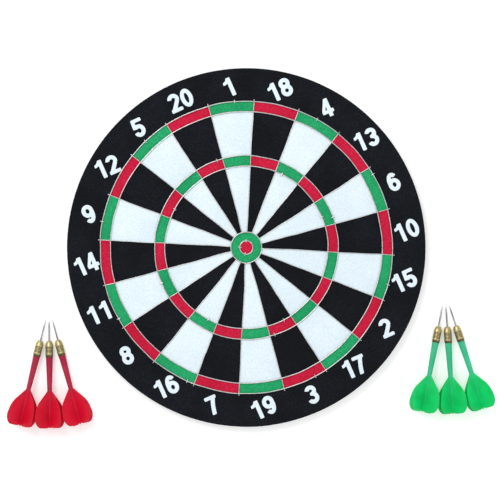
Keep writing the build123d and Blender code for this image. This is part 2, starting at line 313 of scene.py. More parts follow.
def place_of(finish, stretch=(1, 1, 1)):
    nodes, links = finish.node_tree.nodes, finish.node_tree.links
    coordinates = nodes.new("ShaderNodeTexCoord")
    mapping = nodes.new("ShaderNodeMapping")
    mapping.inputs["Scale"].default_value = stretch
    links.new(coordinates.outputs["Object"], mapping.inputs["Vector"])
    return mapping.outputs["Vector"]


def grain(finish, size, detail=2.0, stretch=(1, 1, 1)):
    """Noise whose lumps are about size across, in metres."""
    noise = finish.node_tree.nodes.new("ShaderNodeTexNoise")
    noise.inputs["Scale"].default_value = 1 / size
    noise.inputs["Detail"].default_value = detail
    finish.node_tree.links.new(place_of(finish, stretch), noise.inputs["Vector"])
    return noise.outputs["Fac"]


def calculate(finish, operation, first, second):
    node = finish.node_tree.nodes.new("ShaderNodeMath")
    node.operation = operation
    for socket, value in zip(node.inputs, (first, second)):
        if isinstance(value, (int, float)):
            socket.default_value = value
        else:
            finish.node_tree.links.new(value, socket)
    return node.outputs["Value"]


def tone(finish, value, *stops):
    """Colours along a value: each stop is (place, colour)."""
    ramp = finish.node_tree.nodes.new("ShaderNodeValToRGB")
    elements = ramp.color_ramp.elements
    elements[0].position, elements[0].color = stops[0][0], (*stops[0][1], 1)
    elements[1].position, elements[1].color = stops[-1][0], (*stops[-1][1], 1)
    for position, colour in stops[1:-1]:
        elements.new(position).color = (*colour, 1)
    finish.node_tree.links.new(value, ramp.inputs["Fac"])
    return ramp.outputs["Color"]


def over(finish, amount, under, top):
    """One colour over another, by an amount from 0 to 1."""
    mix = finish.node_tree.nodes.new("ShaderNodeMix")
    mix.data_type = "RGBA"
    colour_inputs = [socket for socket in mix.inputs if socket.type == "RGBA"]
    finish.node_tree.links.new(amount, mix.inputs["Factor"])
    for socket, colour in zip(colour_inputs, (under, top)):
        if isinstance(colour, tuple):
            socket.default_value = (*colour, 1)
        else:
            finish.node_tree.links.new(colour, socket)
    return next(socket for socket in mix.outputs if socket.type == "RGBA")


def span(finish, value, low, high):
    """A value from 0 to 1 spread between two numbers."""
    spread = finish.node_tree.nodes.new("ShaderNodeMapRange")
    spread.inputs["To Min"].default_value = low
    spread.inputs["To Max"].default_value = high
    finish.node_tree.links.new(value, spread.inputs["Value"])
    return spread.outputs["Result"]


def paint(finish, colour=None, roughness=None):
    links = finish.node_tree.links
    if colour is not None:
        links.new(colour, shader_of(finish).inputs["Base Color"])
    if roughness is not None:
        links.new(roughness, shader_of(finish).inputs["Roughness"])


def relief(finish, *layers):
    """Small bumps: each layer is (height value, depth in metres)."""
    nodes, links = finish.node_tree.nodes, finish.node_tree.links
    previous = None
    for height, depth in layers:
        bump = nodes.new("ShaderNodeBump")
        bump.inputs["Distance"].default_value = depth
        links.new(height, bump.inputs["Height"])
        if previous:
            links.new(previous, bump.inputs["Normal"])
        previous = bump.outputs["Normal"]
    links.new(previous, shader_of(finish).inputs["Normal"])


def dress(piece, finish):
    """Puts one finish on every material slot of a piece."""
    piece.data.materials.clear()
    piece.data.materials.append(finish)


print("brush strokes are ready")

# %% [markdown]
# ## Flock
# Flock is short fibre shot into wet glue. It has no gloss. Painted shade darkens its colour between the
# fibres, and a darker copy of its colour, also painted shade, lies in patches where the nap leans. The
# fibre tips catch a little light at the edge, which the sheen gives. A fabric weave would be wrong here,
# because the fibres stand on end and have no threads.

# %% Flock in four colours
FIBRE, TUFT, NAP, PUCKER = 0.45 * mm, 2.2 * mm, 38 * mm, 11 * mm


def flock(name, fibre_gap_shade, pile, tip, sheen):
    finish = start_finish(name)
    fibres = grain(finish, FIBRE, 3)
    tufts = grain(finish, TUFT, 3)
    nap = grain(finish, NAP, 2)
    fine = calculate(finish, "MULTIPLY", fibres, 0.55)
    coarse = calculate(finish, "MULTIPLY", tufts, 0.45)
    mottle = calculate(finish, "ADD", fine, coarse)
    # The first stop of both ramps is painted shade between the fibres.
    body = tone(finish, mottle, (0.32, fibre_gap_shade), (0.52, pile), (0.72, tip))
    # A darker copy of the same colours, painted shade, which the nap mask lays in large patches where the
    # nap leans.
    nap_shade = tone(finish, mottle, (0.36, fibre_gap_shade), (0.60, pile), (0.86, tip))
    nap_shade_mask = tone(finish, nap, (0.40, (0, 0, 0)), (0.62, (1, 1, 1)))
    paint(finish, over(finish, nap_shade_mask, body, nap_shade), span(finish, fibres, 0.86, 1.0))
    relief(finish, (grain(finish, PUCKER, 1), 0.25 * mm), (tufts, 0.18 * mm), (fibres, 0.16 * mm))
    set_constants(finish, Specular_IOR_Level=0.12, Sheen_Weight=sheen, Sheen_Roughness=0.55)
    return finish


black_flock = flock(
    "black_flock", (0.0015, 0.002, 0.003), (0.006, 0.0075, 0.011), (0.018, 0.022, 0.03), 0.04
)
white_flock = flock("white_flock", (0.62, 0.73, 0.80), (0.76, 0.87, 0.93), (0.88, 0.95, 0.97), 0.12)
red_flock = flock("red_flock", (0.36, 0.004, 0.02), (0.60, 0.010, 0.050), (0.74, 0.045, 0.10), 0.08)
green_flock = flock("green_flock", (0.008, 0.22, 0.08), (0.016, 0.37, 0.135), (0.06, 0.52, 0.22), 0.08)
print("flock finishes:", [m.name for m in (black_flock, white_flock, red_flock, green_flock)])

# %% [markdown]
# ## Metals
# The spider is galvanised wire, dull silver with a slight spangle. The staples are brighter. The
# hanger is zinc plated, the needles are polished along their length, and the brass is painted dark in
# its grooves, partly as tarnish and partly as painted shade. The brass reads an attribute that the
# lathe work writes, which is 0 at the bottom of a groove and 1 on the outside.

# %% Wire, steel and brass
def bright_metal(name, dark, light, roughness, spangle, spangle_depth, scratch_stretch):
    finish = start_finish(name)
    spangles = grain(finish, spangle, 2)
    scratches = grain(finish, 0.25 * mm, 2, scratch_stretch)
    paint(
        finish,
        tone(finish, spangles, (0.35, dark), (0.65, light)),
        span(finish, scratches, *roughness),
    )
    relief(finish, (spangles, spangle_depth), (scratches, 0.005 * mm))
    set_constants(finish, Metallic=1.0)
    return finish


spider_wire = bright_metal(
    "spider_wire", (0.50, 0.51, 0.50), (0.82, 0.81, 0.80), (0.30, 0.50), 1.6 * mm, 0.02 * mm, (1, 1, 1)
)
staple_wire = bright_metal(
    "staple_wire", (0.66, 0.67, 0.66), (0.92, 0.92, 0.90), (0.22, 0.40), 1.1 * mm, 0.02 * mm, (1, 1, 1)
)
hanger_steel = bright_metal(
    "hanger_steel", (0.50, 0.51, 0.50), (0.72, 0.72, 0.70), (0.28, 0.50), 3 * mm, 0.02 * mm, (0.2, 1, 1)
)
needle_steel = bright_metal(
    "needle_steel", (0.30, 0.30, 0.32), (0.46, 0.46, 0.48), (0.24, 0.36), 7 * mm, 0.004 * mm, (1, 1, 1)
)


def turned_brass(name):
    finish = start_finish(name)
    depth = finish.node_tree.nodes.new("ShaderNodeAttribute")
    depth.attribute_name = "groove_depth"
    stains = grain(finish, 2.4 * mm, 4)
    lathe_marks = grain(finish, 0.3 * mm, 2)
    clean = tone(finish, stains, (0.30, (0.44, 0.37, 0.17)), (0.72, (0.62, 0.54, 0.27)))
    # The grooves are painted dark, partly as tarnish and partly as painted shade in the hollows.
    tarnish_and_groove_shade = (0.13, 0.10, 0.045)
    outside = tone(finish, depth.outputs["Fac"], (0.45, (0, 0, 0)), (0.95, (1, 1, 1)))
    worn = calculate(finish, "MULTIPLY", outside, span(finish, stains, 0.85, 1.0))
    paint(finish, over(finish, worn, tarnish_and_groove_shade, clean), span(finish, stains, 0.48, 0.34))
    relief(finish, (stains, 0.01 * mm), (lathe_marks, 0.02 * mm))
    set_constants(finish, Metallic=1.0)
    return finish


barrel_brass = turned_brass("barrel_brass")
print("metals are ready")

# %% [markdown]
# ## Plastic and paper
# Stem and flight are one moulding in soft plastic. Thin vanes let some light through and look more
# vivid than the thick stem, so the finish reads an attribute that is 0 on the stem and 1 on the vanes.
# The core is a roll of kraft tape, whose windings are rings about the board's centre. The rim and the
# back are black paper with long fibres, which has rubbed grey here and there.

# %% Plastic
def moulded_plastic(name, stem, stem_light, vane, vane_light):
    finish = start_finish(name)
    thin = finish.node_tree.nodes.new("ShaderNodeAttribute")
    thin.attribute_name = "thin_vane"
    flow = grain(finish, 16 * mm, 1)
    peel = grain(finish, 0.7 * mm, 2)
    stem_colour = tone(finish, flow, (0.35, stem), (0.65, stem_light))
    vane_colour = tone(finish, flow, (0.35, vane), (0.65, vane_light))
    colour = over(finish, thin.outputs["Fac"], stem_colour, vane_colour)
    paint(finish, colour, span(finish, peel, 0.34, 0.5))
    relief(finish, (flow, 0.05 * mm), (peel, 0.02 * mm))
    set_constants(finish, Specular_IOR_Level=0.22, Subsurface_Weight=0.12, Subsurface_Scale=1.5 * mm)
    return finish


red_plastic = moulded_plastic(
    "red_plastic", (0.34, 0.012, 0.045), (0.40, 0.018, 0.055), (0.56, 0.001, 0.018), (0.64, 0.002, 0.026)
)
green_plastic = moulded_plastic(
    "green_plastic", (0.035, 0.44, 0.22), (0.05, 0.50, 0.26), (0.0, 0.52, 0.11), (0.002, 0.62, 0.15)
)
print("plastics are ready")

# %% Paper
def coiled_paper(name):
    finish = start_finish(name)
    nodes, links = finish.node_tree.nodes, finish.node_tree.links
    centre_distance = nodes.new("ShaderNodeVectorMath")
    centre_distance.operation = "LENGTH"
    links.new(place_of(finish, (1, 1, 0)), centre_distance.inputs[0])
    tape_thickness = 0.5 * mm
    wobble = calculate(finish, "MULTIPLY", grain(finish, 20 * mm), 0.4 * mm)
    radius = calculate(finish, "ADD", centre_distance.outputs["Value"], wobble)
    turns = calculate(finish, "MULTIPLY", radius, 2 * pi / tape_thickness)
    winding = calculate(finish, "SINE", turns, 0)
    layers = span(finish, winding, 0.5, 1.0)
    fibres = grain(finish, 0.6 * mm, 3)
    kraft = tone(finish, fibres, (0.3, (0.30, 0.20, 0.11)), (0.7, (0.47, 0.35, 0.21)))
    paint(finish, over(finish, layers, (0.16, 0.10, 0.055), kraft), span(finish, fibres, 0.8, 1.0))
    relief(finish, (winding, 0.08 * mm), (fibres, 0.08 * mm))
    set_constants(finish, Specular_IOR_Level=0.2)
    return finish


def wrapping_paper(name, dark, light, rubbed, stretch):
    finish = start_finish(name)
    fibres = grain(finish, 1.4 * mm, 4, stretch)
    creases = grain(finish, 14 * mm, 2)
    wear = tone(finish, grain(finish, 3.5 * mm, 5), (0.60, (0, 0, 0)), (0.74, (1, 1, 1)))
    sheet = tone(finish, fibres, (0.3, dark), (0.7, light))
    paint(finish, over(finish, wear, sheet, rubbed), span(finish, fibres, 0.62, 0.9))
    relief(finish, (creases, 0.2 * mm), (fibres, 0.06 * mm))
    set_constants(finish, Specular_IOR_Level=0.3)
    return finish


core_paper = coiled_paper("core_paper")
rim_paper = wrapping_paper(
    "rim_paper", (0.010, 0.011, 0.013), (0.024, 0.025, 0.028), (0.045, 0.045, 0.046), (0.25, 0.25, 2)
)
back_paper = wrapping_paper(
    "back_paper", (0.045, 0.045, 0.048), (0.08, 0.08, 0.083), (0.13, 0.125, 0.115), (1, 1, 1)
)
print("papers are ready")

# %% [markdown]
# ## Floor paint
# The floor is matt off-white paint. It gives off a little light of its own, because a white table would
# otherwise come out grey round the pieces.

# %% Floor paint
floor_paint = start_finish("floor_paint")
haze = grain(floor_paint, 0.4, 2)
paint(floor_paint, tone(floor_paint, haze, (0.3, (0.885, 0.885, 0.885)), (0.7, (0.90, 0.90, 0.90))))
set_constants(floor_paint, Roughness=0.9, Specular_IOR_Level=0.1)
set_constants(floor_paint, Emission_Color=(1, 1, 1, 1), Emission_Strength=0.3)
dress(floor, floor_paint)
print("floor is painted with", floor_paint.name)

# %% [markdown]
# ## Coloured fields
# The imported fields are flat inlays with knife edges. Real flock rounds off where two colours meet and
# leaves a fine valley under each wire. A copy of each field has its loose triangles merged back into
# whole faces, and a bevel then rounds the shoulders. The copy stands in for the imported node.

# %% Fields with soft shoulders
def whole_copy(node, name):
    """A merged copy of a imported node, with its flat faces made whole again."""
    piece = copy_piece(frame["nodes"][node], name)
    piece.parent = None
    for key in list(piece.keys()):
        del piece[key]
    piece.matrix_world = Matrix.Identity(4)
    piece.hide_render = False
    edit(piece)
    bpy.ops.mesh.customdata_custom_splitnormals_clear()
    bpy.ops.mesh.select_all(action="SELECT")
    bpy.ops.mesh.remove_doubles(threshold=MERGE_DISTANCE)
    bpy.ops.mesh.dissolve_limited(angle_limit=radians(0.5))
    bpy.ops.mesh.normals_make_consistent(inside=False)
    leave_edit()
    return piece


def round_shoulders(piece, width, segments, sharp_angle):
    bevel = piece.modifiers.new("shoulders", "BEVEL")
    bevel.width = width
    bevel.segments = segments
    bevel.limit_method = "ANGLE"
    bevel.angle_limit = radians(sharp_angle)
    bevel.use_clamp_overlap = True
    apply_modifiers(piece)
    return smooth_round(piece)


def fit_board(piece, node, finish):
    """The piece stands for the node, rides on the board and takes its finish."""
    dress(piece, finish)
    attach(piece, "board")
    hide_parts(node)
    return piece


field_shoulder, centre_shoulder = 0.28 * mm, 0.62 * mm
FIELD_FINISHES = {
    "black_fields": ("black_flock", black_flock, field_shoulder),
    "white_fields": ("white_flock", white_flock, field_shoulder),
    "red_fields": ("red_flock", red_flock, field_shoulder),
    "green_fields": ("green_flock", green_flock, field_shoulder),
    "outer_bull_field": ("green_flock", green_flock, field_shoulder),
    "inner_bull_field": ("red_flock", red_flock, centre_shoulder),
}
for field, (field_slot, field_finish, shoulder) in FIELD_FINISHES.items():
    soft_field = round_shoulders(whole_copy(field, "soft_" + field), shoulder, 3, 50)
    fit_board(soft_field, field, field_finish)
    print(field, "->", len(soft_field.data.polygons), "faces")

# %% [markdown]
# ## Number ring
# The black ring outside the double wire is one band of flock that rolls over at the rim. It is made
# from a disc: insets walk inwards in rings, the middle is taken out, the band is raised, and the outer
# edge is rolled with a bevel. Gentle displacement then gives it the unevenness of paper under flock.

# %% Number ring
ring_low, ring_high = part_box("number_ring")
wire_low, wire_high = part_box("double_outer_wire")
field_edge = wire_high.x - (wire_high.z - wire_low.z) / 2
ring_steps = 12
lip_round = 0.6 * mm

put_down_all()
bpy.ops.mesh.primitive_circle_add(
    vertices=360, radius=ring_high.x, fill_type="NGON", location=(0, 0, ring_low.z)
)
number_ring = settle(new_piece("soft_number_ring"))
edit(number_ring)
bpy.ops.mesh.select_all(action="SELECT")
for step in range(ring_steps):
    bpy.ops.mesh.inset(thickness=(ring_high.x - field_edge) / ring_steps)
bpy.ops.mesh.delete(type="FACE")
bpy.ops.mesh.select_all(action="SELECT")
bpy.ops.mesh.extrude_region_move(TRANSFORM_OT_translate={"value": (0, 0, ring_high.z - ring_low.z)})
bpy.ops.mesh.select_all(action="SELECT")
bpy.ops.mesh.normals_make_consistent(inside=False)


def on_outer_lip(edge):
    return all(
        v.co.xy.length > ring_high.x - 0.5 * mm and v.co.z > ring_high.z - 0.1 * mm for v in edge.verts
    )


lip_edges = choose(number_ring, "edges", on_outer_lip)
bpy.ops.mesh.bevel(offset=lip_round, segments=4)
leave_edit()
print("rolled", lip_edges, "edges of the outer lip")


# %% Uneven paper under the flock
def clouds(name, size):
    texture = bpy.data.textures.new(name, "CLOUDS")
    texture.noise_scale = size
    texture.noise_depth = 1
    return texture


def shift(piece, direction, texture, strength):
    """Moves the mesh along one axis by a smooth field that is fixed in space."""
    displace = piece.modifiers.new("shift", "DISPLACE")
    displace.direction = direction
    displace.texture = texture
    displace.texture_coords = "GLOBAL"
    displace.mid_level = 0.5
    displace.strength = strength


paper_swell = clouds("paper_swell", 24 * mm)
shift(number_ring, "Z", paper_swell, 0.25 * mm)
apply_modifiers(number_ring)
smooth_round(number_ring)
fit_board(number_ring, "number_ring", black_flock)
print("number ring:", len(number_ring.data.polygons), "faces")

# %% [markdown]
# ## Numerals
# The white numerals are flocked through a stencil, so their corners are soft and their edges slightly
# ragged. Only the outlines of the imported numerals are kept, cut into short edges, smoothed and nudged by
# fine noise. As a flat curve they fill themselves, holes included, and get a rounded edge.

# %% Numerals
numerals = whole_copy("numbers", "soft_numerals")
number_low, number_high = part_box("numbers")
edit(numerals)
choose(numerals, "faces", lambda face: face.normal.z < 0.9)
bpy.ops.mesh.delete(type="FACE")
choose(numerals, "edges", lambda edge: len(edge.link_faces) != 1)
bpy.ops.mesh.delete(type="EDGE_FACE")
longest = 0.55 * mm
while choose(numerals, "edges", lambda edge: edge.calc_length() > longest):
    bpy.ops.mesh.subdivide(number_cuts=1)
bpy.ops.mesh.select_mode(type="VERT")
bpy.ops.mesh.select_all(action="SELECT")
bpy.ops.mesh.vertices_smooth(factor=0.5, repeat=7)
leave_edit()
raggedness = 0.22 * mm
shift(numerals, "X", clouds("ragged_edge", 1.1 * mm), raggedness)
shift(numerals, "Y", clouds("ragged_edge_across", 0.9 * mm), raggedness)
apply_modifiers(numerals)
print("outline points:", len(numerals.data.vertices))

# %% Fill and raise the numerals
edge_round = 0.16 * mm
numeral_lift = 0.14 * mm
hold(numerals)
bpy.ops.object.convert(target="CURVE")
numerals = bpy.context.object
numeral_height = number_high.z - number_low.z + numeral_lift
numerals.data.dimensions = "2D"
numerals.data.fill_mode = "BOTH"
numerals.data.extrude = numeral_height / 2 - edge_round
numerals.data.bevel_depth = edge_round
numerals.data.bevel_resolution = 1
numerals.data.offset = -edge_round * 0.6
numerals.location = (0, 0, number_low.z + numeral_height / 2)
hold(numerals)
bpy.ops.object.convert(target="MESH")
numerals = settle(new_piece("soft_numerals"))
close_seams(numerals)
smooth_round(numerals)
fit_board(numerals, "numbers", white_flock)
print("numerals:", len(numerals.data.polygons), "faces")

# %% [markdown]
# ## Hand-bent wire
# A cheap spider is bent and welded by hand, so no wire is quite straight or quite round. All wires,
# welds and staples are moved by the same smooth field, fixed in space. They wander together, so a
# crossing stays a crossing, while separate noise for each wire would pull the welds apart.

# %% The bending field
bend_across = clouds("bend_across", 27 * mm)
bend_along = clouds("bend_along", 31 * mm)
bend_height = clouds("bend_height", 45 * mm)
wander, waviness = 1.5 * mm, 0.3 * mm


def bend_by_hand(piece):
    shift(piece, "X", bend_across, wander)
    shift(piece, "Y", bend_along, wander)
    shift(piece, "Z", bend_height, waviness)
    return apply_modifiers(piece)


def wire_size(node):
    """(radius of the ring, radius of its wire, height of its centre) of a packed ring wire."""
    low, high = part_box(node)
    thickness = (high.z - low.z) / 2
    return high.x - thickness, thickness, (low.z + high.z) / 2


print("outer ring:", [round(v / mm, 2) for v in wire_size("double_outer_wire")], "mm")

# %% [markdown]
# ## Ring wires
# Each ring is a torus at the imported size, with a lump where its two ends are welded together and a
# small weld bead at every radial wire. No radial wire reaches the innermost ring.

# %% Ring wires with their joints
RING_JOINTS = {  # clock bearing of each ring's weld, in degrees
    "double_outer_wire": 226,
    "double_inner_wire": 17,
    "triple_outer_wire": 132,
    "triple_inner_wire": 301,
    "outer_bull_wire": 208,
    "inner_bull_wire": 74,
}
SECTORS = 20
weld_bearings = [360 / SECTORS * (sector + 0.5) for sector in range(SECTORS)]


def around(radius, bearing, height):
    """The point at a clock bearing, with 0 at the top of the board."""
    return Vector((radius * sin(radians(bearing)), radius * cos(radians(bearing)), height))


def weld_bead(place, bearing, length, width, height):
    put_down_all()
    bpy.ops.mesh.primitive_ico_sphere_add(
        subdivisions=2, radius=1, location=place, rotation=(0, 0, radians(-bearing))
    )
    bead = bpy.context.object
    bead.scale = (length / 2, width / 2, height / 2)
    return settle(bead)


def make_ring(node, joint_bearing):
    radius, thickness, height = wire_size(node)
    segments = max(72, int(2 * pi * radius / (3 * mm)))
    put_down_all()
    bpy.ops.mesh.primitive_torus_add(
        major_radius=radius, minor_radius=thickness, major_segments=segments, minor_segments=12,
        location=(0, 0, height),
    )
    ring = settle(new_piece("bent_" + node))
    joint_place = around(radius, joint_bearing, height)
    beads = [weld_bead(joint_place, joint_bearing, 5 * thickness, 2.9 * thickness, 2.7 * thickness)]
    if node != "inner_bull_wire":
        foot = height - thickness * 0.9
        for bearing in weld_bearings:
            place = around(radius, bearing, foot)
            beads.append(weld_bead(place, bearing, 3.2 * thickness, 3.4 * thickness, 1.5 * thickness))
    ring = join_pieces("bent_" + node, [ring, *beads])
    bend_by_hand(ring)
    return smooth_round(ring, 60)


for ring_node, ring_joint in RING_JOINTS.items():
    ring_piece = fit_board(make_ring(ring_node, ring_joint), ring_node, spider_wire)
    print(ring_node, len(ring_piece.data.polygons), "faces")

# %% [markdown]
# ## Radial wires
# One straight wire is a cylinder, cut along its length so that it can bend, with its sheared ends
# slightly rounded. It is copied round the board and every copy is turned to its own bearing.

# %% Radial wires
spoke_low, spoke_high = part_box("radial_wires")
spoke_height = (spoke_low.z + spoke_high.z) / 2
spoke_radius = (spoke_high.z - spoke_low.z) / 2
spoke_start = wire_size("outer_bull_wire")[0]
spoke_reach = Vector((spoke_high.x, spoke_radius, 0)).length / cos(radians(360 / SECTORS / 2))
spoke_shortening = 0.3 * mm
spoke_end = spoke_reach - spoke_shortening
spoke_cuts = 40
sheared_edge = 0.14 * mm

put_down_all()
bpy.ops.mesh.primitive_cylinder_add(
    vertices=10, radius=spoke_radius, depth=spoke_end - spoke_start,
    location=((spoke_start + spoke_end) / 2, 0, spoke_height), rotation=(0, pi / 2, 0),
)
spoke = settle(new_piece("spoke"))
edit(spoke)
choose(spoke, "edges", lambda edge: edge.calc_length() > 10 * spoke_radius)
bpy.ops.mesh.subdivide(number_cuts=spoke_cuts)


def at_wire_end(edge):
    return all(min(abs(v.co.x - spoke_start), abs(v.co.x - spoke_end)) < 0.01 * mm for v in edge.verts)


choose(spoke, "edges", at_wire_end)
bpy.ops.mesh.bevel(offset=sheared_edge, segments=2)
leave_edit()

spokes = []
for bearing in weld_bearings:
    twin = copy_piece(spoke, "spoke_copy")
    twin.rotation_euler = (0, 0, radians(90 - bearing))
    spokes.append(settle(twin))
bpy.data.objects.remove(spoke)
radial_wires = bend_by_hand(join_pieces("bent_radial_wires", spokes))
smooth_round(radial_wires, 50)
fit_board(radial_wires, "radial_wires", spider_wire)
print("radial wires:", len(radial_wires.data.polygons), "faces")
print("they end", round(spoke_end / mm, 1), "mm from the centre")

# %% [markdown]
# ## Staples
# A staple is one bent wire. A small disc is extruded up the first leg, spun through the first bend,
# extruded across the crown, spun through the second bend and extruded down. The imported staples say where
# each one stands, so their places are read from the loose parts of that node.

# %% Where the staples stand
def loose_parts(node):
    """The corners of each separate solid in a packed group node."""
    cage = bmesh.new()
    cage.from_mesh(frame["nodes"][node].data)
    bmesh.ops.remove_doubles(cage, verts=cage.verts, dist=MERGE_DISTANCE)
    parts, seen = [], set()
    for start in cage.verts:
        if start.index in seen:
            continue
        part, queue = [], [start]
        seen.add(start.index)
        while queue:
            vert = queue.pop()
            part.append(vert.co.copy())
            for edge in vert.link_edges:
                other = edge.other_vert(vert)
                if other.index not in seen:
                    seen.add(other.index)
                    queue.append(other)
        parts.append(part)
    cage.free()
    return parts


def middle_of(points):
    low = Vector(min(p[axis] for p in points) for axis in range(3))
    high = Vector(max(p[axis] for p in points) for axis in range(3))
    return (low + high) / 2, low, high


staple_places = []
for part in loose_parts("staples"):
    centre, low, high = middle_of(part)
    staple_places.append((centre.xy.length, atan2(centre.x, centre.y), low.z, high.z))
print(len(staple_places), "staples")

# %% One staple, and its copies
staple_wire_radius = 0.45 * mm
staple_half_crown = 2.1 * mm
staple_bend = 0.9 * mm
staple_height = staple_places[0][3] - staple_places[0][2]
most_skew, most_lean = 7, 3  # degrees

put_down_all()
bpy.ops.mesh.primitive_circle_add(
    vertices=10, radius=staple_wire_radius, fill_type="NGON", location=(-staple_half_crown, 0, 0)
)
staple = settle(new_piece("staple"))
leg_height = staple_height - staple_wire_radius - staple_bend
edit(staple)
bpy.ops.mesh.select_all(action="SELECT")
bpy.ops.mesh.extrude_region_move(TRANSFORM_OT_translate={"value": (0, 0, leg_height)})
for side in (-1, 1):
    bend_centre = (side * (staple_half_crown - staple_bend), 0, leg_height)
    bpy.ops.mesh.spin(steps=4, angle=pi / 2, center=bend_centre, axis=(0, -1, 0))
    if side < 0:
        crown = 2 * (staple_half_crown - staple_bend)
        bpy.ops.mesh.extrude_region_move(TRANSFORM_OT_translate={"value": (crown, 0, 0)})
bpy.ops.mesh.extrude_region_move(TRANSFORM_OT_translate={"value": (0, 0, -leg_height)})
bpy.ops.mesh.select_all(action="DESELECT")
bpy.ops.mesh.select_interior_faces()
bpy.ops.mesh.delete(type="FACE")
leave_edit()
close_seams(staple)
print("staple spans", [round(v / mm, 2) for v in staple.dimensions], "mm")

hand = Random(7)
staple_copies = []
for radius, bearing, foot, top in staple_places:
    twin = copy_piece(staple, "staple_copy")
    skew = Matrix.Rotation(radians(hand.uniform(-most_skew, most_skew)), 4, "Z")
    lean = Matrix.Rotation(radians(hand.uniform(-most_lean, most_lean)), 4, "X")
    stand = Matrix.Translation((radius * sin(bearing), radius * cos(bearing), foot))
    twin.matrix_world = stand @ Matrix.Rotation(pi / 2 - bearing, 4, "Z") @ skew @ lean
    staple_copies.append(settle(twin))
bpy.data.objects.remove(staple)
staples = bend_by_hand(join_pieces("bent_staples", staple_copies))
smooth_round(staples, 50)
fit_board(staples, "staples", staple_wire)
print("staples:", len(staples.data.polygons), "faces")

# %% [markdown]
# ## Rim band
# Black paper tape is wound round the edge of the roll to keep it tight. It starts as an open cylinder
# with a few loops across it, takes on slight dents, and gets a wall with rounded lips. Its end laps
# over its start, so a short piece of the same tape lies on top.

# %% Rim band and its lap
rim_radius = board_high.x
rim_thickness = rim_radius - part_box("number_ring")[1].x
rim_height = board_high.z - board_low.z
dents = clouds("dents", 16 * mm)
dent_depth = 0.18 * mm


def tape_wall(name, radius):
    put_down_all()
    bpy.ops.mesh.primitive_cylinder_add(
        vertices=360, radius=radius, depth=rim_height, end_fill_type="NOTHING",
        location=(0, 0, (board_low.z + board_high.z) / 2),
    )
    wall = settle(new_piece(name))
    edit(wall)
    choose(wall, "edges", lambda edge: abs(edge.verts[0].co.z - edge.verts[1].co.z) > rim_height / 2)
    bpy.ops.mesh.subdivide(number_cuts=5)
    leave_edit()
    return wall


def thicken(wall, thickness):
    dent = wall.modifiers.new("dents", "DISPLACE")
    dent.direction = "NORMAL"
    dent.texture = dents
    dent.texture_coords = "GLOBAL"
    dent.mid_level = 1.0
    dent.strength = dent_depth
    solid = wall.modifiers.new("wall", "SOLIDIFY")
    solid.thickness = thickness
    solid.offset = -1
    apply_modifiers(wall)
    return round_shoulders(wall, thickness * 0.3, 2, 50)


lap_bearing, lap_half_angle = 201, 4.5
lap_raise, lap_thickness = 0.22 * mm, 0.3 * mm
rim_band = thicken(tape_wall("wound_rim_band", rim_radius), rim_thickness * 0.8)
lap = tape_wall("rim_lap", rim_radius + lap_raise)
edit(lap)


def off_the_lap(face):
    middle = face.calc_center_median()
    bearing = atan2(middle.x, middle.y)
    return abs((bearing - radians(lap_bearing) + pi) % (2 * pi) - pi) > radians(lap_half_angle)


choose(lap, "faces", off_the_lap)
bpy.ops.mesh.delete(type="FACE")
leave_edit()
thicken(lap, lap_thickness)
rim_band = join_pieces("wound_rim_band", [rim_band, lap])
smooth_round(rim_band, 50)
fit_board(rim_band, "rim_band", rim_paper)
print("rim band:", len(rim_band.data.polygons), "faces")

# %% [markdown]
# ## Core, back and hanger
# The roll of tape and the sheet on the back have the right shape already and only take their finishes.
# The strap and the nails of the hanger are punched and pressed steel, so merged copies get rounded
# edges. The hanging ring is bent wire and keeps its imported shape.

# %% Core, back and hanger
for node, finish in (
    ("paper_core", core_paper),
    ("back_sheet", back_paper),
    ("hanger_ring", hanger_steel),
):
    dress(frame["nodes"][node], finish)
for node in ("hanger_strap", "hanger_nails"):
    pressed = round_shoulders(whole_copy(node, "pressed_" + node), 0.12 * mm, 2, 40)
    fit_board(pressed, node, hanger_steel)
    print(node, "->", len(pressed.data.polygons), "faces")

# %% [markdown]
# ## Darts: one of each piece, made at the origin
# All six darts are alike, so one needle, one barrel and one moulding are made along X with the tip at
# the origin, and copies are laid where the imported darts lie. A dart's line runs through the middle of
# the two ends of its needle, which are the first and last rings of points on that node.

# %% Finding each dart's line
def needle_line(dart):
    """(tip, direction from tip to tail) of a packed dart, from the two ends of its needle."""
    points = {tuple(round(c, 6) for c in v.co) for v in frame["nodes"][dart + "_needle"].data.vertices}
    points = [Vector(p) for p in points]
    flight_middle = middle_of([v.co for v in frame["nodes"][dart + "_flight"].data.vertices])[0]
    needle_middle = middle_of(points)[0]
    direction = (flight_middle - needle_middle).normalized()
    for end_band in (1 * mm, 0.05 * mm, 0.02 * mm):
        reach = [p.dot(direction) for p in points]
        tips = [p for p, r in zip(points, reach) if r < min(reach) + end_band]
        tails = [p for p, r in zip(points, reach) if r > max(reach) - end_band]
        tip = sum(tips, Vector()) / len(tips)
        tail = sum(tails, Vector()) / len(tails)
        direction = (tail - tip).normalized()
    return tip, direction


def lying_frame(dart):
    """The matrix that lays a piece made along X onto the dart's line, with its Y level."""
    tip, along = needle_line(dart)
    level = Vector((-along.y, along.x, 0)).normalized()
    return Matrix.Translation(tip) @ Matrix((along, level, along.cross(level))).transposed().to_4x4()


def sizes_along(dart, part):
    """(start, end, largest radius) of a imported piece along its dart's line."""
    inverse = lying_frame(dart).inverted()
    points = [inverse @ v.co for v in frame["nodes"][f"{dart}_{part}"].data.vertices]
    return min(p.x for p in points), max(p.x for p in points), max(p.yz.length for p in points)


MODEL_DART = "red_dart_middle"
needle_size = sizes_along(MODEL_DART, "needle")
barrel_size = sizes_along(MODEL_DART, "barrel")
flight_size = sizes_along(MODEL_DART, "flight")
for part, size in (("needle", needle_size), ("barrel", barrel_size), ("flight", flight_size)):
    print(part, [round(v / mm, 2) for v in size], "mm")

# %% [markdown]
# ## Needle
# A steel rod ground to a long point, with a small flat worn on the very tip. The shoulder where the
# grinding starts is soft, because the wheel leaves no line there.

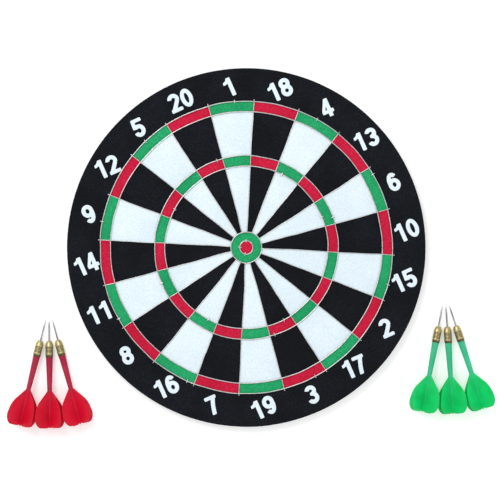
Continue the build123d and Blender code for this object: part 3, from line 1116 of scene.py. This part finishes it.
# %% Needle
needle_start, needle_end, needle_radius = needle_size
point_length = 9 * mm
worn_radius, tip_radius = 0.09 * mm, 0.15 * mm
needle_profile = [(needle_start, 0), (needle_start, worn_radius), (needle_start + 0.06 * mm, tip_radius)]
for share in (0.15, 0.3, 0.45, 0.6, 0.75, 0.9, 1.0):
    ground_radius = tip_radius + (needle_radius - tip_radius) * sin(share * pi / 2) ** 0.9
    needle_profile.append((needle_start + point_length * share, ground_radius))
needle_profile += [
    (needle_end - 0.2 * mm, needle_radius),
    (needle_end, needle_radius * 0.8),
    (needle_end, 0),
]
model_needle = smooth_round(turned("model_needle", needle_profile, 24), 50)
print("needle:", len(model_needle.data.polygons), "faces")

# %% [markdown]
# ## Barrel
# The brass barrel is turned: a domed nose, a straight grip with grooves, and a short taper at the back.
# The grooves have round lips, which catch the light as thin rings. After turning, each point writes how
# far out it lies into the attribute that the brass finish reads.

# %% Barrel
barrel_start, barrel_end, barrel_radius = barrel_size
nose_length, nose_radius = 6.5 * mm, 3.0 * mm
rear_taper, rear_radius = 4.0 * mm, barrel_radius - 0.45 * mm
groove_count, groove_pitch, groove_width, groove_depth = 5, 1.6 * mm, 0.7 * mm, 0.35 * mm
bore_radius = needle_radius * 1.02

barrel_profile = [(barrel_start + 0.5 * mm, 0), (barrel_start + 0.5 * mm, bore_radius)]
barrel_profile += [(barrel_start, bore_radius + 0.12 * mm), (barrel_start, nose_radius - 0.3 * mm)]
for angle in (12, 28, 44, 60, 75, 90):
    dome_x = barrel_start + nose_length * (1 - cos(radians(angle)))
    dome_radius = nose_radius + (barrel_radius - nose_radius) * sin(radians(angle)) ** 2
    barrel_profile.append((dome_x, dome_radius))
straight_start = barrel_start + nose_length
straight_end = barrel_end - rear_taper
first_groove = (straight_start + straight_end - (groove_count - 1) * groove_pitch) / 2
lip = 0.14 * mm
for groove in range(groove_count):
    middle = first_groove + groove * groove_pitch
    half = groove_width / 2
    barrel_profile += [
        (middle - half - lip, barrel_radius),
        (middle - half, barrel_radius - lip * 0.6),
        (middle - half + lip * 0.5, barrel_radius - groove_depth),
        (middle + half - lip * 0.5, barrel_radius - groove_depth),
        (middle + half, barrel_radius - lip * 0.6),
        (middle + half + lip, barrel_radius),
    ]
barrel_profile += [
    (straight_end, barrel_radius),
    (barrel_end - 0.25 * mm, rear_radius),
    (barrel_end, rear_radius - 0.25 * mm),
    (barrel_end, 0),
]
model_barrel = smooth_round(turned("model_barrel", barrel_profile, 48), 45)
depth_layer = model_barrel.data.attributes.new("groove_depth", "FLOAT", "POINT")
for vert, value in zip(model_barrel.data.vertices, depth_layer.data):
    below_outside = (barrel_radius - vert.co.yz.length) / groove_depth
    value.value = 1.0 if vert.co.x < straight_start else max(0.0, 1 - below_outside * 0.9)
print("barrel:", len(model_barrel.data.polygons), "faces")

# %% [markdown]
# ## Stem and flight
# The stem tapers to the tail and carries four leaf-shaped vanes. A vane's outline has six corners, most
# of them rounded with a vertex bevel. It is filled and given its thickness, cut along its length, and
# then scaled: thick at the root, as a moulding must be to leave its mould, and thin towards the edge.

# %% Stem
stem_front = barrel_end
stem_length = 38.5 * mm
spigot_length, spigot_radius = 1.0 * mm, 1.9 * mm
stem_front_radius = rear_radius - 0.1 * mm
flight_start = stem_front + stem_length
flight_length = flight_size[1] - flight_start
stem_rear_radius, tail_radius = 2.9 * mm, 1.2 * mm
stem_profile = [
    (stem_front - spigot_length, 0),
    (stem_front - spigot_length, spigot_radius),
    (stem_front + 0.05 * mm, spigot_radius),
    (stem_front + 0.05 * mm, stem_front_radius - 0.35 * mm),
    (stem_front + 0.4 * mm, stem_front_radius),
    (stem_front + 1.6 * mm, stem_front_radius),
    (stem_front + 2.0 * mm, stem_front_radius - 0.18 * mm),
]
stem_profile += [
    (
        stem_front + (flight_start - stem_front) * share,
        (stem_front_radius - 0.1 * mm) * (1 - share) + stem_rear_radius * share,
    )
    for share in (0.25, 0.5, 0.75, 1.0)
]
stem_profile += [
    (flight_start + flight_length * share, stem_rear_radius + (tail_radius - stem_rear_radius) * share)
    for share in (0.06, 0.12, 0.2, 0.5, 0.98)
]
stem_profile += [(flight_size[1], tail_radius * 0.5), (flight_size[1], 0)]
model_stem = turned("model_stem", stem_profile, 32)
print("stem:", len(model_stem.data.polygons), "faces")

# %% Vane outline with its rounded corners
VANE_CORNERS = [  # distance behind the front of the flight, distance from the axis, corner radius
    (-2.0, 0.0, 0),
    (20.0, 19.6, 22),
    (37.0, 22.8, 12),
    (46.0, 17.0, 7),
    (46.0, 4.5, 4),
    (43.0, 0.0, 0),
]


def corner_setback(before, corner, after, radius):
    """How far a round of that radius starts from its corner."""
    inward = (Vector(corner) - Vector(before)).normalized()
    outward = (Vector(after) - Vector(corner)).normalized()
    return radius * tan(inward.angle(outward) / 2)


corner_points = [(flight_start + x * mm, y * mm, 0) for x, y, bend in VANE_CORNERS]
vane = draw_line("vane", corner_points)
edit(vane)
bpy.ops.mesh.select_all(action="SELECT")
bpy.ops.mesh.edge_face_add()
for index, (x, y, bend) in enumerate(VANE_CORNERS):
    if bend:
        before, corner = corner_points[index - 1], corner_points[index]
        after = corner_points[(index + 1) % len(corner_points)]
        amount = corner_setback(before, corner, after, bend * mm)
        choose(vane, "verts", lambda vert: (vert.co - Vector(corner)).length < 0.001 * mm)
        bpy.ops.mesh.bevel(offset=amount, segments=8, affect="VERTICES")
leave_edit()
print("vane outline:", len(vane.data.vertices), "points")

# %% Vane thickness and draft
vane_thickness = 0.9 * mm
edit(vane)
bpy.ops.mesh.select_all(action="SELECT")
bpy.ops.transform.translate(value=(0, 0, -vane_thickness / 2))
bpy.ops.mesh.extrude_region_move(TRANSFORM_OT_translate={"value": (0, 0, vane_thickness)})
for distance in (2.6, 4.4, 9.0, 14.0):
    bpy.ops.mesh.select_all(action="SELECT")
    bpy.ops.mesh.bisect(plane_co=(0, distance * mm, 0), plane_no=(0, 1, 0))
bpy.ops.mesh.select_all(action="SELECT")
bpy.ops.mesh.normals_make_consistent(inside=False)
for distance, factor in ((2.7, 1.7), (4.5, 0.92)):
    choose(vane, "verts", lambda vert: vert.co.y < distance * mm)
    bpy.ops.transform.resize(value=(1, 1, factor), center_override=(0, 0, 0))
for distance in (8.9, 13.9):
    choose(vane, "verts", lambda vert: vert.co.y > distance * mm)
    bpy.ops.transform.resize(value=(1, 1, 0.88), center_override=(0, 0, 0))
leave_edit()
round_shoulders(vane, 0.22 * mm, 2, 60)
print("vane:", len(vane.data.polygons), "faces")

# %% Moulding of stem and four vanes
VANES = 4
model_parts = [model_stem]
for number in range(VANES):
    twin = copy_piece(vane, "vane_copy")
    twin.rotation_euler = (radians(45 + number * 360 / VANES), 0, 0)
    model_parts.append(settle(twin))
bpy.data.objects.remove(vane)
vivid_after = 5 * mm
for piece in model_parts:
    layer = piece.data.attributes.new("thin_vane", "FLOAT", "POINT")
    for vert, value in zip(piece.data.vertices, layer.data):
        value.value = min(1.0, max(0.0, (vert.co.x - flight_start) / vivid_after))
model_flight = smooth_round(join_pieces("model_flight", model_parts), 45)
print("moulding:", len(model_flight.data.polygons), "faces")

# %% [markdown]
# ## Laying the darts out
# Each copy is placed by its own dart's line, rides on that dart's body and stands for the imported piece.

# %% Lay out the six darts
PLASTICS = {"red": red_plastic, "green": green_plastic}
darts = sorted(body for body in frame["bodies"] if "_dart_" in body)
for dart in darts:
    colour = dart.split("_")[0]
    lay = lying_frame(dart)
    for part, model, slot, finish in (
        ("needle", model_needle, "needle_steel", needle_steel),
        ("barrel", model_barrel, "barrel_brass", barrel_brass),
        ("flight", model_flight, colour + "_plastic", PLASTICS[colour]),
    ):
        piece = copy_piece(model, f"{dart}_turned_{part}" if part != "flight" else f"{dart}_moulding")
        piece.matrix_world = lay
        settle(piece)
        dress(piece, finish)
        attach(piece, dart)
        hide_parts(f"{dart}_{part}")
    print(dart, "laid at", [round(c / mm, 1) for c in lay.translation])
for model in (model_needle, model_barrel, model_flight):
    bpy.data.objects.remove(model)

# %% [markdown]
# ## The last line
# Every piece is put down at the end, so that nothing stays selected.

# %% Put everything down
put_down_all()
